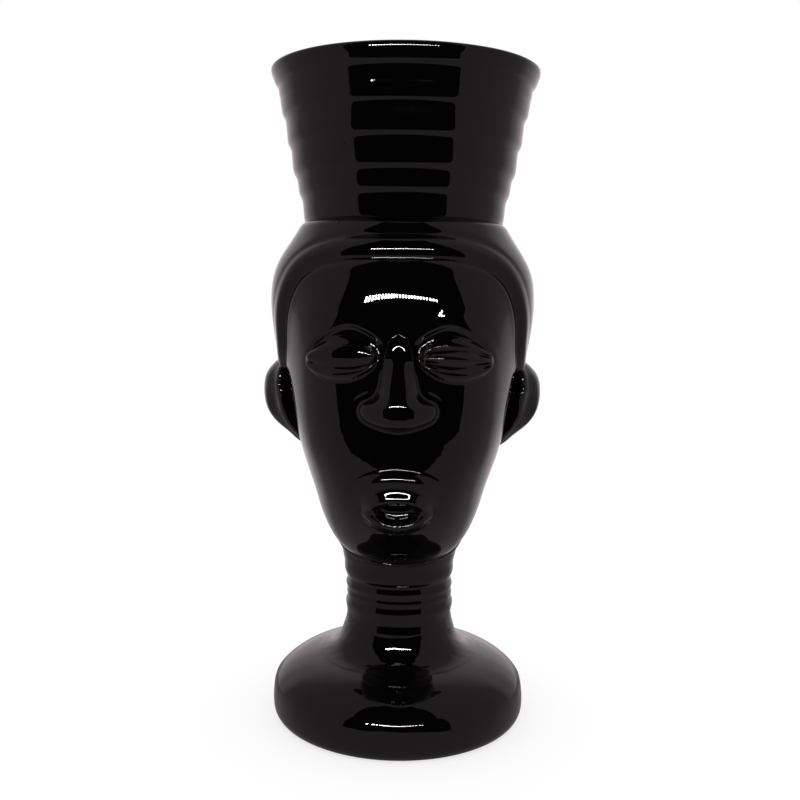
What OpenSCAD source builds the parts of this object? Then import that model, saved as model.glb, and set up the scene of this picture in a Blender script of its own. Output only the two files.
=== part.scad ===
// Tiki mug: a stoneware drinking cup in the shape of a carved head, with a
// ribbed hat for the upper half of the cup, a ringed neck and a round foot.
// Millimetres, +Z up, the face looks towards -Y, +X is the cup's own left ear.
// The origin is the centre of the flat standing ring.

/* [Overall] */
// Height from the table to the top of the lip
total_h = 200; // [190:1:210]
// Thickness of the clay wall
wall = 4; // [3:0.25:5]
// Thickness of the glaze that lines the cup
liner_t = 0.4; // [0.2:0.1:0.8]

/* [Hat] */
// Height at which the hat is joined to the head
hat_z = 154.5; // [152:0.5:157]
// Outer radius of the hat where it meets the head
hat_bottom_r = 30.6; // [29.5:0.1:31.5]
// Outer radius of the hat under the lip
hat_top_r = 38.4; // [37.5:0.1:39.5]
// Outer radius of the lip
lip_r = 40.4; // [39.8:0.1:41]
// Height of the rolled lip
lip_h = 6.6; // [5:0.2:8]
// Number of ribs round the hat
hat_ribs = 5; // [3:1:7]
// How far each rib stands out of the hat
rib_depth = 0.8; // [0.3:0.1:1.5]

/* [Head] */
// Forward lean of the head about the hat joint, in degrees
head_lean = 4; // [2:0.5:6]

/* [Hair] */
// How far the hair stands out of the head
hair_t = 2; // [1.4:0.1:2.4]
// Height of the lower edge of the hair round the back of the head
nape_z = 100; // [94:1:106]
// Half the width of the face opening in the hair
face_half_w = 33.6; // [32:0.2:34.4]
// Height of the top of the face opening
brow_line_z = 143.5; // [141:0.5:145]

/* [Ears] */
// Height of the middle of the ear
ear_z = 101; // [98:0.5:104]
// Distance of the outer edge of the ear from the middle of the mug
ear_reach = 43.5; // [42.5:0.1:44.5]

/* [Face] */
// Distance from the middle of the face to the middle of an eye
eye_x = 16; // [15:0.25:17]
// Height of the slit between the eyelids
eye_z = 116.4; // [114:0.2:118]
// Length of the outline of the eyelids
eye_w = 19.5; // [17:0.5:20]
// Height of the outline of the eyelids
eye_h = 12; // [10:0.5:13]
// Height of the tip of the nose
nose_tip_z = 101.5; // [99:0.5:104]
// Distance of the tip of the nose from the middle of the mug
nose_reach = 42.6; // [41.6:0.1:43.2]
// Half the width of the nose across its wings
nose_half_w = 9.6; // [8:0.2:11]
// Height of the middle of the mouth
mouth_z = 73.4; // [71:0.2:76]
// Width across the lips
mouth_w = 18; // [15:0.5:20]
// Height across the lips
mouth_h = 11.6; // [9:0.2:13]

/* [Neck] */
// Mean outer radius of the neck
neck_r = 15.9; // [15:0.1:17]
// Distance between the rings of the neck
neck_pitch = 6.3; // [5:0.1:8]
// Height of the waves of the rings
neck_wave = 0.45; // [0.2:0.05:0.8]

/* [Foot] */
// Outer radius of the foot
foot_r = 40; // [38:0.5:42]
// Height of the crease above the side of the foot
foot_side_h = 12.4; // [10:0.2:14]
// Height at which the dome of the foot meets the neck
foot_top_z = 28.5; // [26:0.5:30]
// Height of the bare standing ring
ring_h = 1.2; // [0.8:0.1:2]

/* [Hidden] */

glaze = [0.05, 0.045, 0.045];
liner = [0.08, 0.07, 0.07];
clay = [0.78, 0.72, 0.64];

arc_fn = 72;        // facets of a full turn in the preview
sprig_fn = 28;      // facets of the spheres in a hulled sprig
big = 200;          // larger than the whole mug
lip_z = total_h - lip_h;
throat_r = 24.5;    // inner radius where the hat meets the head
lid_relief = 1.5;   // how far the eyelids stand out of the face
eye_relief = 0.9;   // how far the eyeball stands out of the face
lip_relief = 1.6;   // how far the mouth stands out of the face
mouth_depth = 1.6;  // depth of the open mouth below the face
neck_top_z = 76;    // above the highest point of the joint under the head
neck_bore_r = neck_r - neck_wave - wall + 0.4;
foot_bore_r = 33.5;
seam_r = 1.3;       // radius of the coil of slip under the hat

// Radius of the head and depth below the hat joint, from above the joint to the chin
head_points = [[24, -8], [26.6, -4], [28.9, 0.5], [33.3, 8.2], [37.1, 15], [38.3, 23],
               [37.9, 30.5], [36.5, 39], [34, 54], [29.9, 69], [25.6, 82.5], [21.8, 92],
               [17.2, 99], [9.5, 103.4], [0, 104.8]];

// One step of a smooth curve through four points, from the second to the third
function curve(a, b, c, d, t) =
    0.5 * (2 * b + (c - a) * t + (2 * a - 5 * b + 4 * c - d) * t * t
           + (3 * b - a - 3 * c + d) * t * t * t);

// A smooth curve through all the points of a list, with steps points in each stretch
function smooth(p, steps) =
    concat([for (i = [0 : len(p) - 2], k = [0 : steps - 1])
                curve(p[max(i - 1, 0)], p[i], p[i + 1], p[min(i + 2, len(p) - 1)], k / steps)],
           [p[len(p) - 1]]);

// Unit normal of a list of points at place i, to the outside of the profile
function normal(p, i) =
    let (a = p[max(i - 1, 0)], b = p[min(i + 1, len(p) - 1)], d = b - a)
    [d[1], -d[0]] / norm(d);

// The list moved outwards by t, with its last point kept on the axis
function grown(p, t) =
    [for (i = [0 : len(p) - 1])
        let (q = p[i] + t * normal(p, i))
        i == len(p) - 1 ? [0, p[i][1] + t] : [max(q[0], 0.01), q[1]]];

head_curve = smooth(head_points, 3);

// Solid of revolution of the head, larger by t all round, without its lean
module head_upright(t = 0) {
    rotate_extrude($fn = arc_fn)
        mirror([0, 1])
            polygon(concat([[0, head_points[0][1]]], grown(head_curve, t)));
}

// Puts its children in the place of the head: under the hat joint, leaning forwards
module on_head() {
    translate([0, 0, hat_z]) rotate([-head_lean, 0, 0]) children();
}

module head_form(t = 0) {
    on_head() head_upright(t);
}

// Everything on one side of a level plane
module below(z) {
    translate([-big, -big, z - 2 * big]) cube([2 * big, 2 * big, 2 * big]);
}

// Extrudes an outline, drawn in X and Z, through the front of the head
module through_face() {
    rotate([90, 0, 0]) linear_extrude(height = big) children();
}

// Almond of two arcs, w long and h high
module almond(w, h) {
    arc_r = (w * w / h + h) / 4;
    intersection() {
        translate([0, h / 2 - arc_r]) circle(r = arc_r, $fn = arc_fn);
        translate([0, arc_r - h / 2]) circle(r = arc_r, $fn = arc_fn);
    }
}

// A sprig of even thickness laid on the face within an outline
module sprig(relief) {
    difference() {
        intersection() {
            head_form(relief);
            through_face() children();
        }
        head_form(0);
    }
}

// Height of each rib's crest, with the ribs slightly wider towards the lip
function rib_z(k) = hat_z + 3.8 + (lip_z - hat_z - 5.8) * (0.84 * k + 0.04 * k * k) / (hat_ribs - 1);

// Outer radius of the plain cone under the ribs
function hat_r(z) = hat_bottom_r + (hat_top_r - hat_bottom_r) * (z - hat_z) / (lip_z - hat_z);

// Inside of the cup in the hat, smaller by t
module hat_bore(t = 0) {
    translate([0, 0, hat_z])
        cylinder(h = total_h - hat_z, r1 = throat_r - t, r2 = lip_r - wall - t, $fn = arc_fn);
}

// Coil of slip round the joint of the hat
module slip_coil() {
    translate([0, 0, hat_z]) rotate_extrude($fn = arc_fn)
        translate([hat_bottom_r - 0.4, 0]) circle(r = seam_r, $fn = 24);
}

module foot_ring() {
    color(clay) difference() {
        cylinder(h = ring_h, r = foot_r - 1.4, $fn = arc_fn);
        translate([0, 0, -1]) cylinder(h = ring_h + 2, r = foot_bore_r, $fn = arc_fn);
    }
}

// The foot's side, its crease and the dome above it
module foot() {
    side = smooth([[foot_r - 1, ring_h], [foot_r, ring_h + 2.2], [foot_r - 0.2, 7],
                   [foot_r - 0.8, foot_side_h - 2], [foot_r - 1.6, foot_side_h]], 3);
    dome = smooth([[foot_r - 2, foot_side_h + 0.6], [foot_r - 3.1, 17], [foot_r - 6, 20.4],
                   [foot_r - 11.5, 24.2], [foot_r - 17.5, 26.9], [neck_r - 1, foot_top_z]], 3);
    bore = smooth([[neck_bore_r, foot_top_z - wall], [18, 20.4], [26, 17.6], [31.6, 13],
                   [foot_bore_r, 7]], 3);
    color(glaze) rotate_extrude($fn = arc_fn)
        polygon(concat([[foot_bore_r, ring_h]], side, dome, [[neck_bore_r, foot_top_z]], bore));
}

// Coil of slip smoothed into a hollow curve between the dome and the neck
module foot_neck_seam() {
    top_z = foot_top_z + 5.5;
    outer = foot_r - 17.5;
    color(glaze) rotate_extrude($fn = arc_fn) difference() {
        polygon([[neck_r + neck_wave, top_z], [outer, 26.9],
                 [neck_r - 1, foot_top_z], [neck_r - 1, foot_top_z + 1]]);
        translate([outer + 1.7, top_z + 1.4]) circle(r = 7.6, $fn = arc_fn);
        translate([0, foot_top_z]) square([neck_r + neck_wave, 8]);
    }
}

// Outer surface of the ringed neck and its flare, larger by t, as a full solid
module neck_form(t = 0) {
    flare_z = 45;
    ringed = [for (z = [foot_top_z : 1 : flare_z])
                 [neck_r + t + neck_wave * cos(360 * (z - 29.8) / neck_pitch), z]];
    flare = smooth([[neck_r + t, flare_z + 1.5], [neck_r + t + 1.1, flare_z + 5],
                    [neck_r + t + 2.9, flare_z + 9], [neck_r + t + 4.4, flare_z + 16],
                    [neck_r + t + 4.6, neck_top_z]], 3);
    rotate_extrude($fn = arc_fn)
        polygon(concat([[0, foot_top_z]], ringed, flare, [[0, neck_top_z]]));
}

// Ringed tube that flares into the underside of the head
module neck() {
    color(glaze) difference() {
        neck_form();
        translate([0, 0, foot_top_z - 1]) cylinder(h = neck_top_z, r = neck_bore_r, $fn = arc_fn);
        head_form(0);
    }
}

// Roll of slip pressed into the corner between the jaw and the neck
module neck_head_seam() {
    seam_t = 1.6;
    color(glaze) difference() {
        intersection() {
            neck_form(seam_t);
            head_form(seam_t);
        }
        neck_form();
        head_form(0);
    }
}

// Egg-shaped bowl that closes the cup at the chin
module head() {
    color(glaze) difference() {
        intersection() {
            head_form(0);
            below(hat_z);
        }
        head_form(-wall);
        slip_coil();
        intersection() {
            through_face() translate([0, mouth_z]) almond(mouth_w - 5, mouth_h - 5);
            difference() {
                head_form(1);
                head_form(-mouth_depth);
            }
        }
    }
}

// Outline of the face that the hair leaves open
module face_opening() {
    corner_r = 13;
    square_top = brow_line_z - corner_r;
    translate([-face_half_w, 0]) square([2 * face_half_w, square_top]);
    for (side = [-1, 1]) translate([side * (face_half_w - corner_r), square_top])
        circle(r = corner_r, $fn = arc_fn);
    translate([corner_r - face_half_w, square_top - 1])
        square([2 * (face_half_w - corner_r), corner_r + 1]);
}

// Layer of clay laid over the crown and the back of the head
module hair_cap() {
    color(glaze) difference() {
        intersection() {
            head_form(hair_t);
            below(hat_z - 0.2);
        }
        head_form(0);
        below(nape_z);
        through_face() face_opening();
        slip_coil();
        ear_blank(1, 0.02);
        ear_blank(-1, 0.02);
    }
}

// Coil of slip in the groove between the hair and the lowest rib
module head_hat_seam() {
    color(glaze) slip_coil();
}

// Half section of the hat as a full solid, with its ribs as waves on a cone
module hat_outline() {
    step = 1.2;
    count = floor((lip_z - hat_z) / step);
    first = rib_z(0);
    last = rib_z(hat_ribs - 1);
    function phase(z) = (z - first) / (last - first) * (hat_ribs - 1);
    outer = [for (i = [0 : count])
                let (z = hat_z + (lip_z - hat_z) * i / count)
                [hat_r(z) + rib_depth * (cos(360 * phase(z)) / 2), z]];
    polygon(concat([[0, hat_z]], outer, [[0, lip_z]]));
}

// Ribbed wall of the upper half of the cup
module hat() {
    color(glaze) difference() {
        rotate_extrude($fn = arc_fn) hat_outline();
        hat_bore();
        slip_coil();
    }
}

// Rolled lip that is drunk from
module rim_lip() {
    round_r = wall / 2;
    color(glaze) difference() {
        rotate_extrude($fn = arc_fn) union() {
            polygon(concat([[hat_top_r - wall - 2, lip_z], [hat_top_r + 0.2, lip_z]],
                smooth([[hat_top_r + 0.5, lip_z + 1], [lip_r - 0.6, total_h - 3.4],
                        [lip_r, total_h - round_r]], 3),
                [[lip_r - round_r, total_h], [lip_r - wall, total_h - round_r]]));
            translate([lip_r - round_r, total_h - round_r]) circle(r = round_r, $fn = 40);
        }
        hat_bore();
    }
}

// Glaze that lines the cup from the chin to just under the lip
module liner_glaze() {
    color(liner) {
        difference() {
            intersection() {
                head_form(-wall);
                below(hat_z);
            }
            head_form(-wall - liner_t);
        }
        difference() {
            intersection() {
                hat_bore();
                below(lip_z);
            }
            hat_bore(liner_t);
        }
    }
}

// Places and radii of the spheres that the ear is drawn over, from the top to the lobe
ear_balls = [[-6.4, -5, 6, 5.4], [-6.4, 2.5, 5.4, 5], [-5, -2, 1.6, 5],
             [-7.4, -4.5, -4.4, 4.6], [-7.4, 0.5, -3.6, 4.2], [-12, -4, -10.6, 3]];

// Solid that holds one ear's rim and lobe, larger by t
module ear_blank(side, t = 0) {
    hull() for (b = ear_balls)
        translate([side * (ear_reach + b[0]), b[1], ear_z + b[2]]) sphere(r = b[3] + t, $fn = sprig_fn);
}

// Ear with a hollow that faces forwards
module ear(side) {
    color(glaze) difference() {
        ear_blank(side);
        head_form(0);
        for (b = [[-4.4, -10.8, 3.4, 3.6], [-5.6, -10, -0.6, 3.2]])
            translate([side * (ear_reach + b[0]), b[1], ear_z + b[2]])
                sphere(r = b[3], $fn = sprig_fn);
    }
}

module left_ear() {
    ear(1);
}

module right_ear() {
    ear(-1);
}

// Rim of clay round the eye, with its outer corner a little lower
module eyelids(side) {
    color(glaze) sprig(lid_relief) translate([side * eye_x, eye_z + 0.6]) rotate(side * -4)
        difference() {
            almond(eye_w, eye_h);
            almond(eye_w - 3.2, eye_h - 4.4);
        }
}

module left_eyelids() {
    eyelids(1);
}

module right_eyelids() {
    eyelids(-1);
}

// Blank almond eyeball, cut across by a level slit
module eyeball(side) {
    slit = 0.5;
    color(glaze) sprig(eye_relief) translate([side * eye_x, eye_z + 0.6]) rotate(side * -4)
        difference() {
            almond(eye_w - 3.2, eye_h - 4.4);
            translate([0, -0.8 - slit / 2]) square([eye_w - 6, slit], center = true);
        }
}

module left_eye() {
    eyeball(1);
}

module right_eye() {
    eyeball(-1);
}

// Wedge from between the eyes to the tip, with a round wing on each side
module nose() {
    bridge_half_w = 3.4;
    wing_r = 3.9;
    wing_x = nose_half_w - wing_r;
    top = 17.5;
    right_half = concat([[bridge_half_w, top], [bridge_half_w + 1.4, 6]],
                        [for (a = [80 : -20 : -90]) [wing_x + wing_r * cos(a), wing_r * sin(a)]]);
    left_half = [for (i = [len(right_half) - 1 : -1 : 0]) [-right_half[i][0], right_half[i][1]]];
    color(glaze) difference() {
        translate([0, 0, nose_tip_z]) intersection() {
            rotate([90, 0, 90]) linear_extrude(height = 3 * nose_half_w, center = true)
                polygon([[-30, top + 3], [-40.4, top + 0.2], [-nose_reach, 0.6], [-nose_reach + 0.7, -1.6],
                         [-36, -wing_r - 0.6], [-30, -wing_r - 0.6]]);
            through_face() polygon(concat(right_half, left_half));
        }
        head_form(0);
    }
}

// Ring of the lips round the small open mouth
module mouth() {
    color(glaze) sprig(lip_relief) translate([0, mouth_z]) difference() {
        almond(mouth_w, mouth_h);
        almond(mouth_w - 5, mouth_h - 5);
    }
}

foot_ring();
foot();
foot_neck_seam();
neck();
neck_head_seam();
head();
hair_cap();
head_hat_seam();
hat();
rim_lip();
liner_glaze();
left_ear();
right_ear();
left_eyelids();
right_eyelids();
left_eye();
right_eye();
nose();
mouth();
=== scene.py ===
"""Tiki mug in black gloss glaze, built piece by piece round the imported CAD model.

Lengths are millimetres in the part's own frame: +Z up, the face looks towards -Y. make_piece()
turns them into metres, and the materials and the studio are in metres throughout. Angles round the
mug start at the front and grow towards +X, which is the left side of the mug. The head leans
forwards, and carving() is the one height field that the head, hair, eyes, nose and mouth are cut
from: each piece follows it inside its own outline and dips under its neighbour outside it.
"""
import math

import bmesh
import bpy
import numpy as np
from mathutils import Matrix, Vector


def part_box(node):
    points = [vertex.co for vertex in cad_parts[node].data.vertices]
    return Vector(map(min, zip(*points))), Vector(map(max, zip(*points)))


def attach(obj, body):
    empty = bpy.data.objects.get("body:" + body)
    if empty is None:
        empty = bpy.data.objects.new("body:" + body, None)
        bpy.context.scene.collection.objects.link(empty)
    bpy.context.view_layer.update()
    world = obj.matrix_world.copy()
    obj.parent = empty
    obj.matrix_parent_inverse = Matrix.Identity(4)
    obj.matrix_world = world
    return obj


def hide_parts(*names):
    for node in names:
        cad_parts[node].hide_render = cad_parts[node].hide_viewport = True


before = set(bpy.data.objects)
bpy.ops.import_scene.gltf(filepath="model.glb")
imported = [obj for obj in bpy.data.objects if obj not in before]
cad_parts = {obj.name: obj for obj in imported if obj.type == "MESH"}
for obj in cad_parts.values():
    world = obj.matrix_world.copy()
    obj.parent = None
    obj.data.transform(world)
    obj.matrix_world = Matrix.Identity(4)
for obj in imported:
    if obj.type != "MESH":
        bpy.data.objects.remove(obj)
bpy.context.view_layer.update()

MM = 0.001


def low(node, axis):
    """Lowest coordinate of a CAD node along an axis, in millimetres."""
    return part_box(node)[0][axis] / MM


def high(node, axis):
    """Highest coordinate of a CAD node along an axis, in millimetres."""
    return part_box(node)[1][axis] / MM


X, Y, Z = 0, 1, 2
TOP_Z = high("rim_lip", Z)
LIP_R = high("rim_lip", X)
LIP_Z = low("rim_lip", Z)
HAT_Z = low("hat", Z)
RING_H = high("foot_ring", Z)
EAR_REACH = high("left_ear", X)
WALL = 4.0
THROAT_R = 24.5     # inside radius of the cup at the foot of the hat
LINER_T = 0.4
LINER_LAP = 0.15    # how far the wall runs on into the lining, so that no gap shows
HAIR_T = 2.0
LEAN = math.radians(4.0)
BURY = 0.9          # depth to which a sprig's edge dips under the head
UNDER = 0.5         # depth to which the head dips under a sprig
DIP_W = 0.8         # distance past an outline over which either dip comes in
MARGIN = 0.9        # how far the mesh of a sprig goes on past its outline
PROUD = 0.03        # height by which a sprig stands clear of the carving
NOWHERE = -9        # depth inside an outline, for points that have nothing to do with it

SHARP_ANGLE = math.radians(50)
WELD = 2e-7         # metres within which points of a mesh become one
RIDGE_FROM, RIDGE_RANGE = 0.35, 1.4     # bulge at which the brown of thin glaze and painted reflection starts, and range to full brown


# ---------------------------------------------------------------- curves and noise

class Spline:
    """Smooth curve of values over increasing places, with continuous curvature."""

    def __init__(self, points):
        p = np.array(points, float)
        self.x, self.y = p[:, 0], p[:, 1:]
        n, h = len(p), np.diff(p[:, 0])
        a, b = np.eye(n), np.zeros((n, self.y.shape[1]))
        for i in range(1, n - 1):
            a[i, i - 1:i + 2] = [h[i - 1], 2 * (h[i - 1] + h[i]), h[i]]
            b[i] = 6 * ((self.y[i + 1] - self.y[i]) / h[i] - (self.y[i] - self.y[i - 1]) / h[i - 1])
        self.m = np.linalg.solve(a, b)

    def __call__(self, x):
        x = np.clip(np.asarray(x, float), self.x[0], self.x[-1])
        i = np.clip(np.searchsorted(self.x, x, "right") - 1, 0, len(self.x) - 2)
        h = (self.x[i + 1] - self.x[i])[..., None]
        s = (self.x[i + 1] - x)[..., None] / h
        t = 1 - s
        y = s * self.y[i] + t * self.y[i + 1]
        y = y + h * h / 6 * ((s ** 3 - s) * self.m[i] + (t ** 3 - t) * self.m[i + 1])
        return y[..., 0] if y.shape[-1] == 1 else y


def along(points):
    """Spline through points, run by the distance between them, and its length."""
    p = np.array(points, float)
    at = np.r_[0, np.cumsum(np.linalg.norm(np.diff(p, axis=0), axis=1))]
    return Spline(np.c_[at, p]), at[-1]


def path(points, count):
    """Count points along a smooth curve through points."""
    curve, length = along(points)
    return curve(np.linspace(0, length, count))


def ramp(t):
    """0 up to t = 0, 1 from t = 1, smooth between."""
    t = np.clip(t, 0, 1)
    return t * t * (3 - 2 * t)


def bell(t):
    return np.exp(-t * t)


def waves(u, v, seed, size):
    """Smooth random field over two coordinates, of about unit height and the same on every run."""
    rng = np.random.default_rng(seed)
    octaves, count, finer = 3, 6, 1.9
    total = 0
    for octave in range(octaves):
        for _ in range(count):
            angle, phase = rng.uniform(0, 2 * math.pi, 2)
            pitch = 2 * math.pi / (size * rng.uniform(0.7, 1.4)) * finer ** octave
            run = u * math.cos(angle) + v * math.sin(angle)
            total = total + np.sin(pitch * run + phase) / finer ** octave
    return total / count ** 0.5


def handmade(p, seed, size, height):
    """Unevenness of the clay at points p, without a seam round the mug."""
    front = waves(p[..., X], p[..., Z], seed, size)
    side = waves(p[..., Y], p[..., Z], seed + 50, size)
    return height / 2 * (front + side)


# ---------------------------------------------------------------- meshes

def grid_faces(rows, cols, closed):
    """Quads of a grid that is closed round its columns, and round its rows too if closed."""
    i, j = np.meshgrid(np.arange(rows if closed else rows - 1), np.arange(cols), indexing="ij")
    a, b = i * cols, (i + 1) % rows * cols
    k = (j + 1) % cols
    return np.stack([a + j, a + k, b + k, b + j], -1).reshape(-1, 4)


def skin(grid, closed=True):
    """Points and faces of a grid of rings."""
    return grid.reshape(-1, 3), grid_faces(grid.shape[0], grid.shape[1], closed)


def slab(outer, inner, mask, wrap=False):
    """Closed piece between two grids of points, over the cells where mask is true."""
    rows, cols = outer.shape[:2]
    index = np.arange(rows * cols).reshape(rows, cols)
    beside = np.pad(mask, 1)
    if wrap:
        index = np.concatenate([index, index[:, :1]], 1)
        beside[1:-1, 0], beside[1:-1, -1] = mask[:, -1], mask[:, 0]
    a, b, c, d = index[:-1, :-1], index[:-1, 1:], index[1:, 1:], index[1:, :-1]
    count = rows * cols
    faces = [np.stack([a, b, c, d], -1)[mask], np.stack([d, c, b, a], -1)[mask] + count]
    for there, m, n in ((beside[:-2, 1:-1], a, b), (beside[1:-1, 2:], b, c),
                        (beside[2:, 1:-1], c, d), (beside[1:-1, :-2], d, a)):
        edge = mask & ~there
        faces.append(np.stack([n[edge], m[edge], m[edge] + count, n[edge] + count], -1))
    points = np.concatenate([outer.reshape(-1, 3), inner.reshape(-1, 3)])
    used, faces = np.unique(np.concatenate(faces), return_inverse=True)
    return points[used], faces.reshape(-1, 4)


def round_z(radius, angle, height):
    """Points at a radius, an angle from the front and a height."""
    x, y, z = np.broadcast_arrays(radius * np.sin(angle), -radius * np.cos(angle), height)
    return np.stack([x, y, z], -1).astype(float)


def circle(cols):
    return np.arange(cols) / cols * 2 * math.pi


def turned(profile, cols, relief=None):
    """Closed ring from a loop of (radius, height) turned about Z, with relief on its radius."""
    angle = circle(cols)
    p = round_z(profile[:, :1], angle, profile[:, 1:])
    if relief is not None:
        p = p + relief(p)[..., None] * round_z(1.0, angle, 0.0)
    return skin(p)


def mark_ridges(data):
    """Stores how brown the glaze runs at each point, from 0 to 1, by how sharply it bulges: thin
    glaze, and in part a painted reflection on the ridges.
    """
    count = len(data.vertices)
    p, n = np.empty(count * 3), np.empty(count * 3)
    data.vertices.foreach_get("co", p)
    data.vertices.foreach_get("normal", n)
    p, n = p.reshape(-1, 3) / MM, n.reshape(-1, 3)
    ends, sharp = np.empty(len(data.edges) * 2, np.int32), np.empty(len(data.edges), bool)
    data.edges.foreach_get("vertices", ends)
    data.edges.foreach_get("use_edge_sharp", sharp)
    a, b = ends.reshape(-1, 2).T
    step = p[b] - p[a]
    size = np.maximum((step ** 2).sum(1), 1e-6)
    bulge, links = np.zeros(count), np.zeros(count)
    for i, sign in ((a, -1), (b, 1)):
        np.add.at(bulge, i, sign * (step * n[i]).sum(1) / size * 2)
        np.add.at(links, i, 1)
    bulge /= np.maximum(links, 1)
    bulge[a[sharp]] = bulge[b[sharp]] = 0
    for _ in range(2):
        soft, near = bulge.copy(), np.ones(count)
        for i, j in ((a, b), (b, a)):
            np.add.at(soft, i, bulge[j])
            np.add.at(near, i, 1)
        bulge = soft / near
    ridge = data.attributes.new("ridge", "FLOAT", "POINT")
    ridge.data.foreach_set("value", ramp((bulge - RIDGE_FROM) / RIDGE_RANGE).astype(np.float32))


def make_piece(name, parts, slot, replaced):
    """One object from (points, faces) parts. It rides on the mug and stands for a CAD node."""
    base = np.cumsum([0] + [len(p) for p, _ in parts])
    points = np.concatenate([p for p, _ in parts]) * MM
    faces = np.concatenate([f + b for (_, f), b in zip(parts, base)])
    data = bpy.data.meshes.new(name)
    data.from_pydata(points.tolist(), [], faces.tolist())
    work = bmesh.new()
    work.from_mesh(data)
    bmesh.ops.remove_doubles(work, verts=work.verts, dist=WELD)
    bmesh.ops.delete(work, geom=[e for e in work.edges if not e.link_faces], context="EDGES")
    bmesh.ops.recalc_face_normals(work, faces=work.faces)
    work.to_mesh(data)
    work.free()
    data.shade_smooth()
    data.set_sharp_from_angle(angle=SHARP_ANGLE)
    mark_ridges(data)
    piece = bpy.data.objects.new(name, data)
    bpy.context.scene.collection.objects.link(piece)
    data.materials.append(MATERIALS[slot])
    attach(piece, "root")
    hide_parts(replaced)


# ---------------------------------------------------------------- plain form of the head

# Radius and depth below the hat, from inside the hat to the tip of the chin
HEAD_POINTS = [[24, -8], [26.6, -4], [28.9, 0.5], [33.3, 8.2], [37.1, 15], [38.3, 23], [37.9, 30.5],
               [36.5, 39], [34, 54], [29.9, 69], [25.6, 82.5], [21.8, 92], [17.2, 99], [9.5, 103.4],
               [0, 104.8]]
head_curve, HEAD_LENGTH = along(HEAD_POINTS)
HEAD_PLACES = np.linspace(0, HEAD_LENGTH, 2000)
HEAD_TABLE = head_curve(HEAD_PLACES)
HEAD_TOP_R = 29.0       # radius of the head where it passes under the hat
HEAD_TOP_BLEND = 14     # distance down the profile over which its rows turn level with the hat
CHIN_DEPTH = 104.7      # depth below the hat at which the chin ends, just above its tip


def head_place(depth):
    """Distance along the head's profile to a depth below the hat."""
    return np.interp(depth, HEAD_TABLE[:, 1], HEAD_PLACES)


def head_point(angle, t, out=0.0):
    """Point of the leaning head, at a distance out from its plain skin."""
    q = head_curve(t)
    step = head_curve(np.minimum(t + 0.05, HEAD_LENGTH)) - head_curve(np.maximum(t - 0.05, 0))
    step = step / np.linalg.norm(step, axis=-1, keepdims=True)
    radius = np.maximum(q[..., 0] + out * step[..., 1], 0)
    radius = np.where(np.asarray(t) >= HEAD_LENGTH - 1e-6, 0, radius)
    p = round_z(radius, angle, -q[..., 1] + out * step[..., 0])
    c, s = math.cos(LEAN), math.sin(LEAN)
    return np.stack([p[..., X], p[..., Y] * c + p[..., Z] * s,
                     -p[..., Y] * s + p[..., Z] * c + HAT_Z], -1)


def head_rows(angle, places):
    """Places along the profile for each angle, the first row level with the hat's lower edge."""
    angle, t = np.meshgrid(angle, places)
    top = head_place(HEAD_TOP_R * np.cos(angle) * math.tan(LEAN))
    return angle, t + (top - places[0]) * (1 - ramp((t - places[0]) / HEAD_TOP_BLEND))


# ---------------------------------------------------------------- carving of the head

def outline_depth(line, u, v):
    """Signed distance from an open line of points, positive on its left."""
    batch = 5000
    flat = np.stack([u, v], -1).reshape(-1, 2)
    depth = np.empty(len(flat))
    start, step = line[:-1], np.diff(line, axis=0)
    square = (step ** 2).sum(1)
    for i in range(0, len(flat), batch):
        q = flat[i:i + batch, None] - start
        t = np.clip((q * step).sum(-1) / square, 0, 1)
        off = q - t[..., None] * step
        dist = np.hypot(off[..., 0], off[..., 1])
        k = dist.argmin(1)
        row = np.arange(len(k))
        side = step[k, 0] * q[row, k, 1] - step[k, 1] * q[row, k, 0]
        depth[i:i + batch] = np.where(side >= 0, dist[row, k], -dist[row, k])
    return depth.reshape(np.shape(u))


# Edge of the hair on one side: degrees from the front and height, from the forehead to the nape
HAIR_EDGE = [[0, 143.5], [20, 143.2], [35.7, 141.7], [46.5, 139], [54.2, 134.6], [60.5, 128.6],
             [65.8, 122], [71, 116.3], [77, 112.3], [83, 108], [90, 103.6], [102, 100.8],
             [125, 98.5], [150, 97.3], [180, 97]]
UNROLL_R = 38.0


def hair_line():
    half = np.array(HAIR_EDGE, float) * [math.pi / 180 * UNROLL_R, 1]
    front = half[1:5][::-1] * [-1, 1]
    back = half[-2:-4:-1] * [-1, 1] + [2 * math.pi * UNROLL_R, 0]
    return path(np.concatenate([front, half, back]), 320)


HAIR_LINE = hair_line()


def hair_relief(angle, z):
    """Depth inside the hair's edge, and its layer with the tooled groove along the edge."""
    turn = np.abs(np.arctan2(np.sin(angle), np.cos(angle))) * UNROLL_R
    d = outline_depth(HAIR_LINE, turn, z)
    layer = HAIR_T * (1 - (1 - np.clip((d + 0.2) / 3.4, 0, 1)) ** 2.5)
    edge = -0.32 * bell(d / 1.2) + 0.1 * bell((d + 2.2) / 1.3)
    band = -0.4 * bell(turn / 42) * bell((d - 5.6) / 1.2)
    crown = -0.8 * bell((HAT_Z - z) / 1.3) * (d > 0)
    return d, layer + edge + band + crown


EYE_X, EYE_HALF, EYE_Z = 15.0, 10.2, 115.85
SLIT_BROW, PLAIN_BROW = 0.22, 0.1       # height of the brow over each eye
SLIT_BALL, PLAIN_BALL = 2.55, 3.9       # how far up each ball shows between its lids
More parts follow.
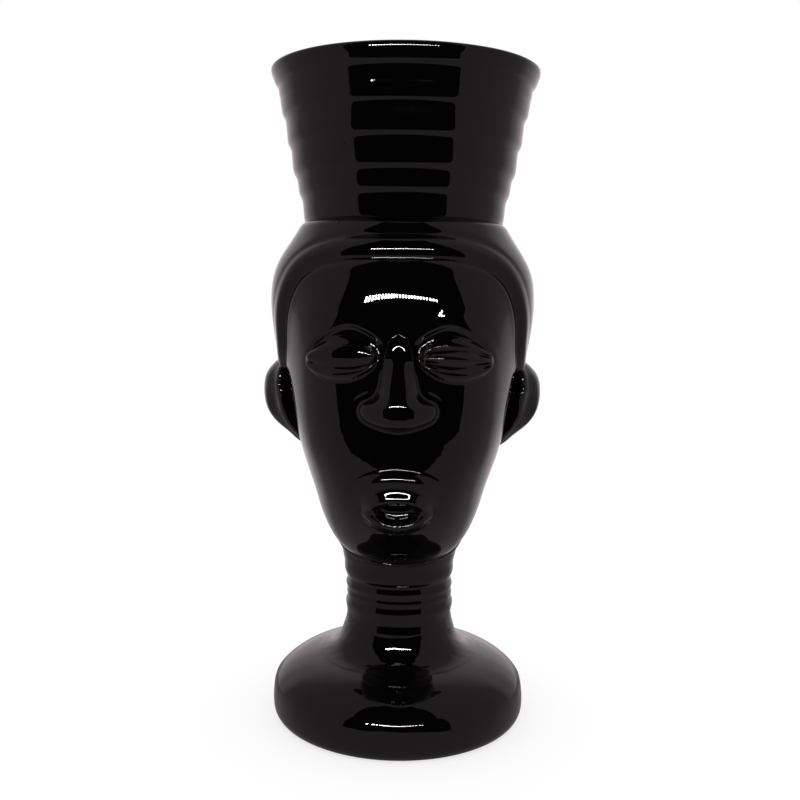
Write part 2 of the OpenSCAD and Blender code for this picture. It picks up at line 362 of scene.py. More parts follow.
# Height above the line through the corners, and relief, down the middle of each eye
SLIT_EYE = [[-7.4, 0.0], [-6.2, 0.05], [-5.2, 0.5], [-4.3, 0.8], [-3.5, 0.75], [-2.6, 0.3],
            [-1.8, 0.15], [-0.9, 0.4], [0.2, 0.9], [1.0, 0.95], [1.9, 0.5], [2.6, 0.25],
            [3.4, 0.45], [4.3, 0.65], [5.2, 0.3], [6.1, -0.2], [6.9, -0.4]]
PLAIN_EYE = [[-7.4, 0.0], [-6.3, 0.05], [-5.3, 0.5], [-4.5, 0.8], [-3.8, 0.75], [-2.9, 0.35],
             [-2.1, 0.25], [-1.0, 0.5], [0.8, 0.85], [2.4, 0.95], [3.6, 0.75], [4.7, 0.25],
             [5.7, -0.25], [6.9, -0.45]]
CREASE = Spline([[0, 117.6], [2.5, 118.3], [6, 121], [9.5, 123.2], [13, 124.3], [17, 123.3],
                 [20.5, 121], [23.5, 118], [25.6, 115.2], [28, 111.5]])


def almond_place(x, z):
    """Opening of the almond at x, from 0 at the corners to 1, and height above the corner line."""
    u = (x - EYE_X) / EYE_HALF
    return np.clip(1 - np.abs(u) ** 2.3, 0, 1) ** 0.8, z - EYE_Z + 0.45 * u


def eye_relief(x, z, lines, brow_height):
    """Brow, socket, lids and ball of one eye; x is the distance from the middle of the face."""
    almond, above = almond_place(x, z)
    reach = ramp((x - 2.0) / 5) * ramp((28 - x) / 5)
    over = z - CREASE(x)
    brow = brow_height * reach * bell((over - 2.5) / 2.1)
    socket = -0.6 * reach * ramp((1.2 - over) / 1.6) * ramp((above + 1) / 6)
    h = above / np.maximum(almond, 0.12)
    lids = 1.45 * Spline(lines)(h) + 0.35 * ramp((h + 7) / 4)
    return brow + socket + lids * ramp(almond / 0.5) * ramp((1.2 - over) / 1.6)


NOSE_LINE = path([[0, 96.7], [2.4, 97.0], [4.8, 97.7], [7.3, 98.7], [9.3, 100.1], [10.0, 102.0],
                  [9.0, 104.0], [7.1, 105.0], [5.5, 106.9], [4.7, 110.5], [4.1, 114.5],
                  [3.3, 118.5], [2.0, 121.6], [0, 122.8]], 160)
NOSE_RIDGE = Spline([[93, 0.1], [95, 0.4], [96, 1.1], [97.2, 2.6], [98.4, 3.9], [99.6, 4.65],
                     [100.8, 4.95], [102, 5.05], [103.2, 5.05], [104.2, 5.0], [105.1, 4.75],
                     [106.3, 4.35], [108, 3.8], [111, 2.95], [114, 2.1], [117, 1.2], [118.6, 0.65],
                     [119.7, 0.25], [121, 0.03], [126, 0]])
NOSE_WING = Spline([[93, 0.1], [96.7, 0.6], [99, 1.1], [101.5, 1.3], [104, 1.2], [107, 1.0],
                    [112, 0.7], [116, 0.3], [119, 0.05], [122, 0], [126, 0]])


def nose_relief(x, z):
    """Depth inside the nose's outline, and the nose with the tooled hollow round it."""
    d = outline_depth(NOSE_LINE, x, z)
    ridge, wing = NOSE_RIDGE(z), NOSE_WING(z)
    broad = ramp((118 - z) / 12)
    narrow = np.exp(-(x / (2.3 + 1.8 * broad)) ** (1.7 + 1.3 * broad))
    spread = np.clip(1.1 - np.hypot(np.maximum(x - 1.5, 0), 0.8) / 8, 0, 1)
    crown = wing + (ridge - wing) * (narrow + (spread - narrow) * ramp((107 - z) / 4))
    rise = 1 - np.exp(-(np.maximum(d + 0.7, 0) / 1.15) ** 1.6)
    gap = 2.1 + 2.4 * ramp((103 - z) / 8)
    fade = ramp((122 - z) / 4)
    hollow = -0.28 * (1 - ramp((-d - gap + 0.4) / 1.0)) * fade
    return d, crown * rise + hollow


MOUTH_Z = 74.0
LIP_HALF_W, LIP_HALF_H = 6.3, 4.4


def mouth_relief(x, z):
    """Distance out from the middle of the lips, and the muzzle, lips, open mouth and chin."""
    edge = np.clip((86.1 - x ** 2 / 36 - z) / 2.4, 0, 1)
    muzzle = 1.9 * (1 - (1 - edge) ** 2) * ramp((z - 71) / 9) * np.exp(-(x / 8.2) ** 4)
    dz = z - MOUTH_Z
    q = np.hypot(x / LIP_HALF_W, dz / LIP_HALF_H)
    d = (q - 1) * np.hypot(x, dz) / np.maximum(q, 0.05)
    lower = ramp((1.0 - dz) / 3.0)
    lips = (1.25 + 1.15 * lower) * bell(d / (1.5 + 0.7 * lower))
    hole = -2.1 * ramp((-d - 0.7) / 1.7)
    fold = -0.3 * bell((d - 3.0) / 0.9)
    under_lip = 0.6 * np.exp(-((x / 6.5) ** 4 + ((z - 67.0) / 2.6) ** 2))
    chin = under_lip + 0.2 * np.exp(-((x / 9) ** 2 + ((z - 57) / 4.5) ** 2))
    return d, muzzle + lips + hole + fold + chin


# The face is flatter than the round head, and its lower half stands a little forward
FLATTER = Spline([[0, 0], [5, 0.09], [10, 0.37], [15, 0.85], [19, 1.3], [22, 1.5], [25, 1.35],
                  [28, 0.85], [31, 0.3], [34, 0], [40, 0]])
FORWARD = Spline([[50, 0], [56, 0.7], [64, 2.4], [71, 4.1], [78, 5.1], [84, 4.75], [92, 3.48],
                  [100, 2.4], [108, 1.55], [116, 1.1], [128, 0.65], [133, 0.42], [138, 0.17],
                  [145, 0], [160, 0]])


def face_plane(x, z):
    side = 11 + 6 * ramp((z - 80) / 22)
    flatter = FLATTER(x) * ramp((z - 72) / 18) * ramp((140 - z) / 18)
    return flatter + FORWARD(z) * (1 - ramp((x - side) / 18))


def carving(angle, base):
    """Height over the plain head at points of it, and the depths inside the pieces' outlines."""
    x, z = np.abs(base[..., X]), base[..., Z]
    face = ramp(-(base[..., Y] - (z - HAT_Z) * math.tan(LEAN)) / 8)
    hair_d, hair = hair_relief(angle, z)
    nose_d, nose = nose_relief(x, z)
    mouth_d, mouth = mouth_relief(x, z)
    left = base[..., X] > 0
    eyes = np.where(left, eye_relief(x, z, SLIT_EYE, SLIT_BROW),
                    eye_relief(x, z, PLAIN_EYE, PLAIN_BROW))
    eyes = eyes * ramp((-nose_d - 0.6) / 2.6)
    height = hair + face * (eyes + nose + mouth + face_plane(x, z)) + handmade(base, 3, 50, 0.13)
    almond, above = almond_place(x, z)
    ball_top = np.where(left, SLIT_BALL, PLAIN_BALL)
    lids = np.minimum(6.7 * almond - above, above + 6.2 * almond) - 0.25
    ball = np.minimum(ball_top * almond - above, above + 2.2 * almond)
    depths = {"hair": hair_d, "nose": nose_d, "mouth": np.minimum(3.2 - mouth_d, mouth_d + 2.3),
              "lids": np.where(almond > 0, np.minimum(lids, -ball), NOWHERE),
              "ball": np.where(almond > 0, ball, NOWHERE)}
    return height, depths


def sprig(grid, which, thick=1.7):
    """Slab of the carving over a grid, inside the outline that which names."""
    angle, t = np.meshgrid(*grid)
    base = head_point(angle, t)
    height, depths = carving(angle, base)
    d = depths[which]
    height = height + PROUD - BURY * ramp(-d / DIP_W)
    near = np.maximum.reduce([d[:-1, :-1], d[1:, :-1], d[:-1, 1:], d[1:, 1:]]) > -MARGIN
    return slab(head_point(angle, t, height), head_point(angle, t, height - thick), near)


def patch(x_low, x_high, z_low, z_high, step):
    """Angles and places along the profile of a fine grid over part of the face."""
    radius = 36.0
    angles = np.arcsin(np.array([x_low, x_high]) / radius)
    places = head_place((HAT_Z - np.array([z_high, z_low]) + 2.4) / math.cos(LEAN))
    return (np.linspace(*angles, int((angles[1] - angles[0]) * radius / step) + 1),
            np.linspace(*places, int((places[1] - places[0]) / step) + 1))


def spaced(stops):
    """Rising numbers from (value, step) stops: a stop's step fills the stretch after it."""
    out = [np.array([stops[0][0]])]
    for (a, step), (b, _) in zip(stops, stops[1:]):
        out.append(np.linspace(a, b, max(int(round((b - a) / step)), 1) + 1)[1:])
    return np.concatenate(out)


def head_angles(fine, coarse):
    """Angles once round the head, fine over the face and coarse behind; steps in millimetres."""
    side = math.radians(78)
    angles = spaced([(-side, fine / UNROLL_R), (side, coarse / UNROLL_R), (2 * math.pi - side, 1)])
    return angles[:-1]


def make_head():
    angles = head_angles(0.43, 1.5)
    start = head_place(0.0)
    places = spaced([(start, 1.2), (start + 8, 0.43), (head_place(93), 0.9), (HEAD_LENGTH, 1)])
    angle, t = head_rows(angles, places)
    base = head_point(angle, t)
    height, d = carving(angle, base)
    sprigs = np.maximum.reduce([d["nose"], d["mouth"], d["lids"], d["ball"]])
    covered = np.maximum(d["hair"], np.where(base[..., Y] < 0, sprigs, NOWHERE))
    outer = head_point(angle, t, height - UNDER * ramp(covered / DIP_W))
    angle, t = head_rows(angles, spaced([(start, 6), (HEAD_LENGTH, 1)]))
    inner = head_point(angle, t, -WALL - LINER_LAP)
    outer[0, :, Z] = inner[0, :, Z] = HAT_Z - 0.02
    shell = skin(np.concatenate([outer[::-1], inner]), False)
    make_piece("carved_head", [shell], "black_glaze", "head")


def make_hair():
    body = 2.4
    start = head_place(0.0)
    places = spaced([(start, 0.3), (start + 5, 0.45), (head_place(61), 1)])
    angle, t = head_rows(head_angles(0.45, 1.3), places)
    height, d = carving(angle, head_point(angle, t))
    d = d["hair"]
    height = height + PROUD - BURY * ramp(-d / DIP_W)
    turned_d = np.roll(d, -1, 1)
    near = np.maximum.reduce([d[:-1], d[1:], turned_d[:-1], turned_d[1:]]) > -MARGIN
    outer = head_point(angle, t, height)
    inner = head_point(angle, t, height - body)
    outer[0, :, Z] = inner[0, :, Z] = HAT_Z - 0.1
    make_piece("hair_layer", [slab(outer, inner, near, wrap=True)], "black_glaze", "hair_cap")


def make_sprigs():
    for side, word in ((1, "left"), (-1, "right")):
        grid = patch(*sorted((side * 3.2, side * 27.6)), 106.5, 125.5, 0.19)
        make_piece(word + "_lids_sprig", [sprig(grid, "lids")], "black_glaze", word + "_eyelids")
        make_piece(word + "_eyeball", [sprig(grid, "ball")], "black_glaze", word + "_eye")
    nose = sprig(patch(-12, 12, 94, 126, 0.22), "nose", 2.2)
    make_piece("nose_sprig", [nose], "black_glaze", "nose")
    lips = sprig(patch(-12, 12, 63, 85, 0.22), "mouth")
    make_piece("lips_sprig", [lips], "black_glaze", "mouth")


# ---------------------------------------------------------------- ears

# Height, then reach of the rim, front, back and inner end of the ear
EAR = Spline([[86.8, 30.6, -6.0, -3.4, 28.0], [87.8, 32.2, -7.0, -2.4, 28.2],
              [89.8, 34.7, -7.9, -1.0, 28.6], [92.5, 38.3, -8.7, 0.8, 29.2],
              [96, 41.5, -9.5, 2.8, 30.0], [99.5, 43.0, -10.1, 4.6, 30.8],
              [104, EAR_REACH, -10.4, 6.0, 31.7], [107, 43.1, -10.1, 6.2, 32.3],
              [109.5, 41.9, -9.3, 5.6, 32.9], [111.4, 40.2, -8.2, 4.4, 33.3],
              [112.7, 38.4, -6.8, 2.8, 33.6], [113.6, 35.8, -4.6, 0.4, 33.9]])
# Section of the ear: part of its width from the head outwards, part of its depth from back to front
EAR_SECTION = [[0, 0.5], [0.03, 0.84], [0.15, 0.82], [0.25, 0.80], [0.35, 0.93], [0.46, 0.97],
               [0.6, 0.86], [0.75, 0.72], [0.9, 0.56], [0.98, 0.4], [1.0, 0.27], [0.96, 0.14],
               [0.85, 0.04], [0.6, 0.0], [0.3, 0.04], [0.05, 0.16], [0, 0.5]]


def make_ears():
    section = path(EAR_SECTION, 90)[:-1]
    z = spaced([(86.8, 0.25), (90, 0.5), (110, 0.3), (113.6, 1)])
    for side, word in ((1, "left"), (-1, "right")):
        reach, front, back, inner = EAR(z).T[..., None]
        x = inner + (reach - inner) * section[:, 0]
        level = z[:, None] + 0 * x
        dent = np.exp(-(((x - 38.6) / 2.4) ** 2 + ((level - 100.5) / 5.0) ** 2))
        notch = np.exp(-(((x - 35.6) / 1.5) ** 2 + ((level - 105.6) / 1.3) ** 2))
        facing = ramp((section[:, 1] - 0.45) / 0.2)
        y = back + (front - back) * section[:, 1] + facing * (1.1 * dent + 1.6 * notch)
        y = y + 0.25 * facing * waves(x + 90 * side, level, 21, 18)
        p = np.stack([side * x, y, level], -1)
        p[0], p[-1] = p[0].mean(0), p[-1].mean(0)
        make_piece(word + "_ear_sprig", [skin(p, False)], "black_glaze", word + "_ear")


# ---------------------------------------------------------------- turned pieces

# Steps out between the bands of the hat: height, depth and half height
HAT_STEPS = [[162.2, 1.05, 1.25], [168.5, 1.08, 1.2], [177.0, 1.03, 1.05], [185.7, 0.93, 0.9]]


def hat_radius(z):
    r = 30.5 + 0.080 * (z - HAT_Z) + 0.09 * np.maximum(z - 187.5, 0)
    r = r - 0.058 * bell((z - 190.6) / 0.75)
    for at, depth, half in HAT_STEPS:
        r = r + depth / 2 * (1 + np.tanh((z - at) / half))
    return r - 0.25 * bell((z - HAT_Z) / 0.7)


def bore_radius(z):
    return THROAT_R + (LIP_R - WALL - THROAT_R) * (z - HAT_Z) / (TOP_Z - HAT_Z)


def hat_dents(p):
    return handmade(p, 11, 40, 0.1)


def make_hat():
    z = np.linspace(HAT_Z, LIP_Z, 120)
    loop = np.concatenate([np.c_[hat_radius(z), z], np.c_[bore_radius(z), z][::-6]])
    make_piece("ribbed_hat", [turned(loop, 300, hat_dents)], "black_glaze", "hat")
    join, under = hat_radius(np.array([LIP_Z, LIP_Z - 0.3]))
    loop = path([[join, LIP_Z], [join + 2 * (join - under) + 0.02, LIP_Z + 0.6], [39.05, 195.1],
                 [39.75, 196.6], [LIP_R, 198.6], [40.25, 199.5], [39.55, TOP_Z - 0.06],
                 [38.5, TOP_Z], [37.4, 199.5], [36.6, 198.4], [bore_radius(196.5), 196.5],
                 [bore_radius(LIP_Z), LIP_Z]], 70)
    make_piece("rolled_lip", [turned(loop, 300, hat_dents)], "black_glaze", "rim_lip")


def make_liner():
    z = np.linspace(HAT_Z, LIP_Z, 60)
    thin = LINER_T * ramp((LIP_Z + 0.5 - z) / 4) + 0.02
    ripple = 0.12 * np.sin(z / 1.9) * ramp((LIP_Z - z) / 8)
    face = np.c_[bore_radius(z) - thin + ripple, z]
    hat = np.concatenate([np.c_[bore_radius(z) + 0.2, z], face[::-1]])
    start = head_place(0.0)
    angle, t = head_rows(circle(180), spaced([(start, 1.4), (HEAD_LENGTH, 1)]))
    bumps = handmade(head_point(angle, t), 31, 30, 0.25) * ramp((t - start) / 6)
    outer = head_point(angle, t, -WALL)
    inner = head_point(angle, t, -WALL - LINER_T - 0.1 + bumps)
    outer[0, :, Z] = inner[0, :, Z] = HAT_Z + 0.01
    make_piece("cup_lining", [turned(hat, 180), skin(np.concatenate([outer[::-1], inner]), False)],
               "liner_glaze", "liner_glaze")


def make_hat_seam():
    """Thin coil of slip under the hat, pushed in by thumb, with a large and a small blob."""
    angle = circle(420)
    turn = np.arctan2(np.sin(angle), np.cos(angle))
    ring = 30 * np.sin(angle), 30 * np.cos(angle)
    lump = 0.08 * waves(*ring, 41, 9)
    aside = math.radians(33)
    blobs = 1.6 * bell((turn + aside) / 0.08) + 0.7 * bell((turn - aside) / 0.07)
    r = 0.8 + lump + 0.7 * blobs
    height = HAT_Z - 0.15 + 0.1 * waves(*ring, 42, 14) - 1.4 * blobs
    around = circle(20)[:, None]
    radius = 29.6 + 0.3 * lump + 0.9 * blobs + r * np.cos(around)
    p = round_z(radius, angle, height + r * np.sin(around))
    make_piece("slip_coil", [skin(p)], "black_glaze", "head_hat_seam")


# Height and radius of the neck: thrown rings, then the flare under the jaw
NECK = Spline([[26.0, 17.6], [28.5, 17.05], [29.6, 17.05], [31.8, 16.6], [34, 16.7], [36.1, 16.9],
               [37.8, 16.5], [39.2, 16.65], [40.1, 16.5], [42.1, 16.9], [43.9, 16.5], [45.3, 17.0],
               [47, 17.4], [49.3, 17.5], [51.5, 18.0], [55, 18.6], [59, 19.6], [62, 20.2],
               [68, 20.5], [76, 20.5]])
NECK_BORE_R = 11.85


def neck_top(angle):
    """Height at which the neck's skin meets the head's, at each angle."""
    heights = np.linspace(48, 75, 500)
    p = round_z(NECK(heights)[:, None], angle, heights[:, None])
    c, s = math.cos(LEAN), math.sin(LEAN)
    y = p[..., Y] * c - (p[..., Z] - HAT_Z) * s
    depth = -(p[..., Y] * s + (p[..., Z] - HAT_Z) * c)
    inside = np.hypot(p[..., X], y) < np.interp(depth, HEAD_TABLE[:, 1], HEAD_TABLE[:, 0])
    return heights[(inside & (depth < CHIN_DEPTH)).argmax(0)]


def make_neck():
    angle = circle(260)
    joint = neck_top(angle)
    z = FOOT_TOP_Z + (joint - 27.0) * np.linspace(0, 1, 150)[:, None]
    outer = round_z(NECK(z), angle, z)
    outer = outer + handmade(outer, 61, 24, 0.16)[..., None] * round_z(1.0, angle, 0.0)
    inner = round_z(np.minimum(NECK_BORE_R + 3.2 * ramp((z - 46) / 16), NECK(z) - 2), angle, z)
    make_piece("ringed_neck", [skin(np.concatenate([outer, inner[::-12]]))], "black_glaze", "neck")
    r = 1.15 + 0.12 * waves(20 * np.sin(angle), 20 * np.cos(angle), 71, 12)
    around = circle(16)[:, None]
    radius = NECK(joint) - 0.15 + r * np.cos(around)
    p = round_z(radius, angle, joint - 0.35 + 0.8 * r * np.sin(around))
    make_piece("jaw_slip_roll", [skin(p)], "black_glaze", "neck_head_seam")


RING_IN_R, RING_OUT_R = 33.5, 37.9
FOOT_TOP_Z = 28.5
# Radius and height, up the side of the foot and then up its dome
SIDE = [[RING_OUT_R, RING_H], [38.4, 0.35], [39.3, 1.2], [39.85, 2.6], [40.0, 4.2], [39.9, 7.4],
        [39.6, 9.6], [39.15, 11.1], [38.5, 12.2]]
DOME = [[38.5, 12.2], [37.6, 13.3], [35.6, 15.1], [32.5, 17.0], [28.5, 18.7], [24.5, 20.0],
        [21.5, 21.3], [18.8, 23.4], [17.0, 25.8], [15.2, FOOT_TOP_Z]]


def foot_dents(p):
    """Thumbed unevenness of the dome, which dies out at the standing edge."""
    return ramp((p[..., Z] - 3) / 8) * handmade(p, 81, 30, 0.22)


def make_foot():
    bore = path([[NECK_BORE_R, 22.5], [18, 18.6], [26, 15.6], [31.6, 11.6], [RING_IN_R, 6.5],
                 [RING_IN_R, RING_H]], 40)
    top = [[NECK_BORE_R, FOOT_TOP_Z]]
    loop = np.concatenate([path(SIDE, 36), path(DOME, 90)[1:], top, bore])
    make_piece("domed_foot", [turned(loop, 300, foot_dents)], "black_glaze", "foot")
    fillet = path([[26.6, 19.0], [25.2, 19.78], [23.6, 20.4], [22.0, 21.2], [20.3, 22.5],
                   [18.9, 24.3], [18.0, 26.4], [17.3, 28.8], [16.4, 31.2]], 50)
    loop = np.concatenate([fillet, [[15.2, 30.5], [14.6, 25.5], [16.5, 22.5], [20, 20]]])
    roll = turned(loop, 260, lambda p: 0.8 * foot_dents(p) + handmade(p, 91, 12, 0.08))
    make_piece("foot_slip_roll", [roll], "black_glaze", "foot_neck_seam")
    ring = np.concatenate([path([[RING_IN_R, RING_H], [33.6, 0.35], [34.0, 0.02]], 8),
                           path([[34.6, 0.0], [35.6, 0.0], [36.6, 0.0]], 6),
                           path([[37.2, 0.05], [37.7, 0.4], [RING_OUT_R, RING_H]], 8)])
    make_piece("bare_ring", [turned(ring, 260)], "bare_clay", "foot_ring")


# ---------------------------------------------------------------- materials

class Nodes:
    """A small helper for building a node tree."""

    def __init__(self, tree):
        self.tree = tree
        tree.nodes.clear()

    def put(self, socket, value):
        if isinstance(value, bpy.types.NodeSocket):
            self.tree.links.new(value, socket)
        else:
            socket.default_value = value

    def add(self, kind, inputs=None, **settings):
        node = self.tree.nodes.new(kind)
        for key, value in settings.items():
            setattr(node, key, value)
        for key, value in (inputs or {}).items():
            self.put(node.inputs[key], value)
        return node

    def noise(self, vector, scale, detail=3.0, roughness=0.5):
        return self.add("ShaderNodeTexNoise", {"Vector": vector, "Scale": scale, "Detail": detail,
                                               "Roughness": roughness}).outputs["Fac"]

    def dots(self, vector, scale):
        node = self.add("ShaderNodeTexVoronoi", {"Vector": vector, "Scale": scale})
        return node.outputs["Distance"]

    def math(self, operation, a, b=0.0):
        return self.add("ShaderNodeMath", {0: a, 1: b}, operation=operation).outputs[0]

    def span(self, value, low_from, high_from, low_to=0.0, high_to=1.0):
        inputs = {"Value": value, "From Min": low_from, "From Max": high_from,
                  "To Min": low_to, "To Max": high_to}
        return self.add("ShaderNodeMapRange", inputs).outputs["Result"]

    def mix(self, factor, a, b):
        node = self.add("ShaderNodeMix", data_type="RGBA")
        for place, value in ((0, factor), (6, a), (7, b)):
            self.put(node.inputs[place], value)
        return node.outputs[2]

    def bump(self, height, distance, strength=1.0, normal=None, invert=False):
        inputs = {"Height": height, "Distance": distance, "Strength": strength}
        if normal:
            inputs["Normal"] = normal
        return self.add("ShaderNodeBump", inputs, invert=invert).outputs[0]


def new_material(name):
    material = bpy.data.materials.new(name)
    material.use_nodes = True
    return material, Nodes(material.node_tree)


def glaze_material(name, black, brown, rough):
    """Gloss glaze: brown along sharp ridges, partly thin glaze and partly a painted reflection of
    the bright room, with faint ripples and pinholes.
    """
    material, n = new_material(name)
    place = n.add("ShaderNodeTexCoord").outputs["Object"]
    ridge = n.add("ShaderNodeAttribute", attribute_name="ridge").outputs["Fac"]
    # Brown along sharp ridges: partly thin glaze, partly a painted reflection of the bright room in
    # the ridges.
    thin = n.math("MULTIPLY", ridge, n.span(n.noise(place, 420.0, 4.0), 0.35, 0.65, 0.35, 1.0))
    cloud = n.span(n.noise(place, 45.0), 0.4, 0.7, 0.0, 0.22)
    colour = n.mix(cloud, (*black, 1), (*[c * 1.8 for c in black], 1))
    colour = n.mix(thin, colour, (*brown, 1))
    roughness = n.span(n.noise(place, 160.0, 4.0), 0.3, 0.75, rough, rough + 0.022)
    pits = n.math("MULTIPLY", n.span(n.dots(place, 230.0), 0.0, 0.09, 1.0, 0.0),
                  n.span(n.noise(place, 90.0, 1.0), 0.6, 0.66))
    bump = n.bump(n.noise(place, 75.0, 1.0), 0.00009)
    bump = n.bump(n.noise(place, 520.0, 1.0), 0.000004, normal=bump)
    bump = n.bump(pits, 0.00012, 0.5, bump, invert=True)
    shader = n.add("ShaderNodeBsdfPrincipled", {"Base Color": colour, "Roughness": roughness,
                                                "IOR": 1.5, "Normal": bump})
    n.add("ShaderNodeOutputMaterial", {"Surface": shader.outputs[0]})
    return material


def clay_material():
    """Bare buff stoneware: sandy, with iron specks, and near black above its lowest fraction of a
    millimetre.
    """
    material, n = new_material("bare_clay")
    place = n.add("ShaderNodeTexCoord").outputs["Object"]
    sand = n.noise(place, 900.0, 6.0, 0.7)
    colour = n.mix(n.span(sand, 0.3, 0.7), (0.50, 0.40, 0.29, 1), (0.70, 0.60, 0.47, 1))
    stain = n.span(n.noise(place, 60.0, 4.0), 0.45, 0.75, 0.0, 0.5)
    colour = n.mix(stain, colour, (0.34, 0.28, 0.22, 1))
    specks = n.span(n.dots(place, 420.0), 0.02, 0.12, 0.8, 0.0)
    colour = n.mix(specks, colour, (0.13, 0.08, 0.05, 1))
    # Near black from 0.1 to 0.4 millimetres up the ring and above.
    edge = n.add("ShaderNodeSeparateXYZ", {0: place}).outputs["Z"]
    colour = n.mix(n.span(edge, 0.0001, 0.0004), colour, (0.006, 0.004, 0.004, 1))
    shader = n.add("ShaderNodeBsdfPrincipled", {"Base Color": colour, "IOR": 1.45,
                                                "Roughness": n.span(sand, 0.3, 0.7, 0.75, 0.95),
                                                "Normal": n.bump(sand, 0.0002, 0.8)})
    n.add("ShaderNodeOutputMaterial", {"Surface": shader.outputs[0]})
    return material


# The brown of each glaze goes on its sharp ridges: partly thin glaze, partly a painted reflection.
MATERIALS = {
    "black_glaze": glaze_material("black_glaze", (0.0012, 0.0009, 0.0009),
                                  (0.034, 0.019, 0.014), 0.012),
    "liner_glaze": glaze_material("liner_glaze", (0.0022, 0.0016, 0.0016),
                                  (0.040, 0.022, 0.016), 0.05),
    "bare_clay": clay_material(),
}


# ---------------------------------------------------------------- studio

FRONT_GLOW, BACK_GLOW = 0.28, 1.0       # what the glaze mirrors in front of the mug and behind it
ROOM_TINT = (1, 0.9, 0.93, 1)           # colour of the room as the glaze mirrors it
GLOW_FROM = (0, 0, 0.13)                # the floor's glow goes by the direction seen from here
PAPER, PAPER_LIFT = 0.36, 0.69          # shade of the white paper, and the light it gives itself
FLOOR_HALF = 4.0


def emitter(name, strength):
    material, n = new_material(name)
    light = n.add("ShaderNodeEmission", {"Strength": strength})
    n.add("ShaderNodeOutputMaterial", {"Surface": light.outputs[0]})
    return material


def make_world():
    """White room. In the glaze it is dimmer in front of the mug than behind it."""
    world = bpy.data.worlds.new("studio")
    world.use_nodes = True
    bpy.context.scene.world = world
    n = Nodes(world.node_tree)
    way = n.add("ShaderNodeSeparateXYZ", {0: n.add("ShaderNodeTexCoord").outputs["Generated"]})
    mirrored = n.span(way.outputs["Y"], 0.45, 1.0, FRONT_GLOW - 1, BACK_GLOW - 1)
    glossy = n.add("ShaderNodeLightPath").outputs["Is Glossy Ray"]
    value = n.math("ADD", n.math("MULTIPLY", glossy, mirrored), 1.0)
    tint = n.mix(glossy, (1, 1, 1, 1), ROOM_TINT)
    shade = n.add("ShaderNodeBackground", {"Color": tint, "Strength": value})
    n.add("ShaderNodeOutputWorld", {"Surface": shade.outputs[0]})


def stage_mesh(name, points, faces, material, mirrored_only=True):
    """Puts a mesh on the stage. One that is mirrored only shows in the glaze and nowhere else."""
    data = bpy.data.meshes.new(name)
    data.from_pydata([tuple(p) for p in points], [], faces)
    data.materials.append(material)
    thing = bpy.data.objects.new(name, data)
    bpy.context.scene.collection.objects.link(thing)
    if mirrored_only:
        thing.visible_camera = thing.visible_diffuse = thing.visible_shadow = False


def make_floor():
    """White paper, which the glaze mirrors as dim as the room in the same direction."""
    material, n = new_material("floor")
    spot = n.add("ShaderNodeNewGeometry").outputs["Position"]
    spot = n.add("ShaderNodeVectorMath", {0: spot, 1: GLOW_FROM}, operation="SUBTRACT").outputs[0]
    spot = n.add("ShaderNodeVectorMath", {0: spot}, operation="NORMALIZE").outputs[0]
    way = n.add("ShaderNodeSeparateXYZ", {0: spot})
    paper = n.add("ShaderNodeBsdfDiffuse", {"Color": (PAPER, PAPER, PAPER, 1)}).outputs[0]
    lift = n.add("ShaderNodeEmission", {"Strength": PAPER_LIFT}).outputs[0]
    lit = n.add("ShaderNodeAddShader", {0: paper, 1: lift}).outputs[0]
    glow = n.span(way.outputs["Y"], 0.40, 0.97, FRONT_GLOW, BACK_GLOW)
    mirrored = n.add("ShaderNodeEmission", {"Color": ROOM_TINT, "Strength": glow}).outputs[0]
    glossy = n.add("ShaderNodeLightPath").outputs["Is Glossy Ray"]
    both = n.add("ShaderNodeMixShader", {0: glossy, 1: lit, 2: mirrored}).outputs[0]
    n.add("ShaderNodeOutputMaterial", {"Surface": both})
    size = FLOOR_HALF
    stage_mesh("floor", [(-size, -size, 0), (size, -size, 0), (size, size, 0), (-size, size, 0)],
               [(0, 1, 2, 3)], material, mirrored_only=False)


CARD_R = 0.42
CARD_HALF_TURN = math.radians(47)
CARD_TOP = math.radians(72)     # how far up the opening curves over the mug
CARD_SIDE_H = 0.16              # height up to which it stands upright
CARD_FLOOR_Y, CARD_LIFT = -0.25, 0.0005
CARD_COLS = 25

LAMP_COUNT = 24
LAMP_R, LAMP_Z = CARD_R - 0.02, 0.199
LAMP_HALF_TURN = math.radians(27)
LAMP_HALF_W = 0.0036
LAMP_HALF_H, LAMP_NARROWS = 0.0115, 0.0075      # of the first lamp, and how much less the last has
LAMP_STRENGTH = 190.0


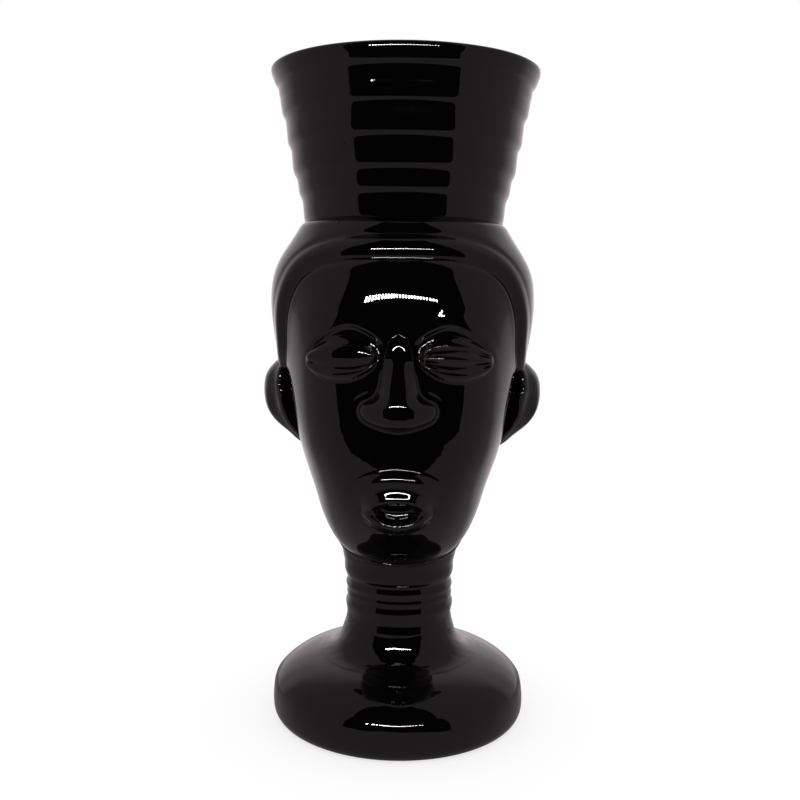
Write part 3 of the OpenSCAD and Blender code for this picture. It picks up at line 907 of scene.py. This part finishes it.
def make_cards():
    """Dark front opening of the light tent, and the row of lamps that hangs in it."""
    turns = np.linspace(-CARD_HALF_TURN, CARD_HALF_TURN, CARD_COLS)
    near = -CARD_FLOOR_Y / math.cos(CARD_HALF_TURN)
    rows = [(near, CARD_LIFT), (CARD_R, CARD_LIFT), (CARD_R, CARD_SIDE_H)]
    for rise in np.linspace(0.15, CARD_TOP, 10):
        rows.append((CARD_R * math.cos(rise), CARD_SIDE_H + CARD_R * math.sin(rise)))
    points = np.concatenate([round_z(radius, turns, z) for radius, z in rows])
    points[:CARD_COLS, Y] = CARD_FLOOR_Y
    faces = []
    for row in range(len(rows) - 1):
        for k in range(row * CARD_COLS, (row + 1) * CARD_COLS - 1):
            faces.append((k, k + 1, k + CARD_COLS + 1, k + CARD_COLS))
    stage_mesh("dark_card", points.tolist(), faces, emitter("dark_opening", 0.0))
    points, faces = [], []
    for k in range(LAMP_COUNT):
        turn = LAMP_HALF_TURN * (2 * (k + 0.5) / LAMP_COUNT - 1)
        middle = Vector((LAMP_R * math.sin(turn), -LAMP_R * math.cos(turn), LAMP_Z))
        side = Vector((math.cos(turn), math.sin(turn), 0)) * LAMP_HALF_W
        up = Vector((0, 0, LAMP_HALF_H - LAMP_NARROWS * k / LAMP_COUNT))
        faces.append(tuple(range(len(points), len(points) + 4)))
        points += [middle - side - up, middle + side - up, middle + side + up, middle - side + up]
    stage_mesh("lamp_row", points, faces, emitter("lamps", LAMP_STRENGTH))


CAMERA_AT = (-0.00048, -0.3033, 0.1358)
CAMERA_TURN, CAMERA_PITCH, CAMERA_ROLL = math.radians(1.5), math.radians(6.7), 0.0128


def make_camera():
    """Camera in front of the mug, looking slightly down, turned a little towards its left side."""
    data = bpy.data.cameras.new("camera")
    data.lens, data.sensor_width = 43.7, 36.0
    data.clip_start = 0.01
    camera = bpy.data.objects.new("camera", data)
    bpy.context.scene.collection.objects.link(camera)
    level = Matrix.Rotation(math.pi / 2 - CAMERA_PITCH, 4, "X")
    aim = level @ Matrix.Rotation(CAMERA_ROLL, 4, "Z")
    place = Matrix.Translation(CAMERA_AT)
    camera.matrix_world = Matrix.Rotation(CAMERA_TURN, 4, "Z") @ place @ aim
    bpy.context.scene.camera = camera


make_foot()
make_neck()
make_head()
make_hair()
make_hat_seam()
make_hat()
make_liner()
make_ears()
make_sprigs()
make_world()
make_floor()
make_cards()
make_camera()
bpy.context.scene.view_settings.view_transform = "Standard"
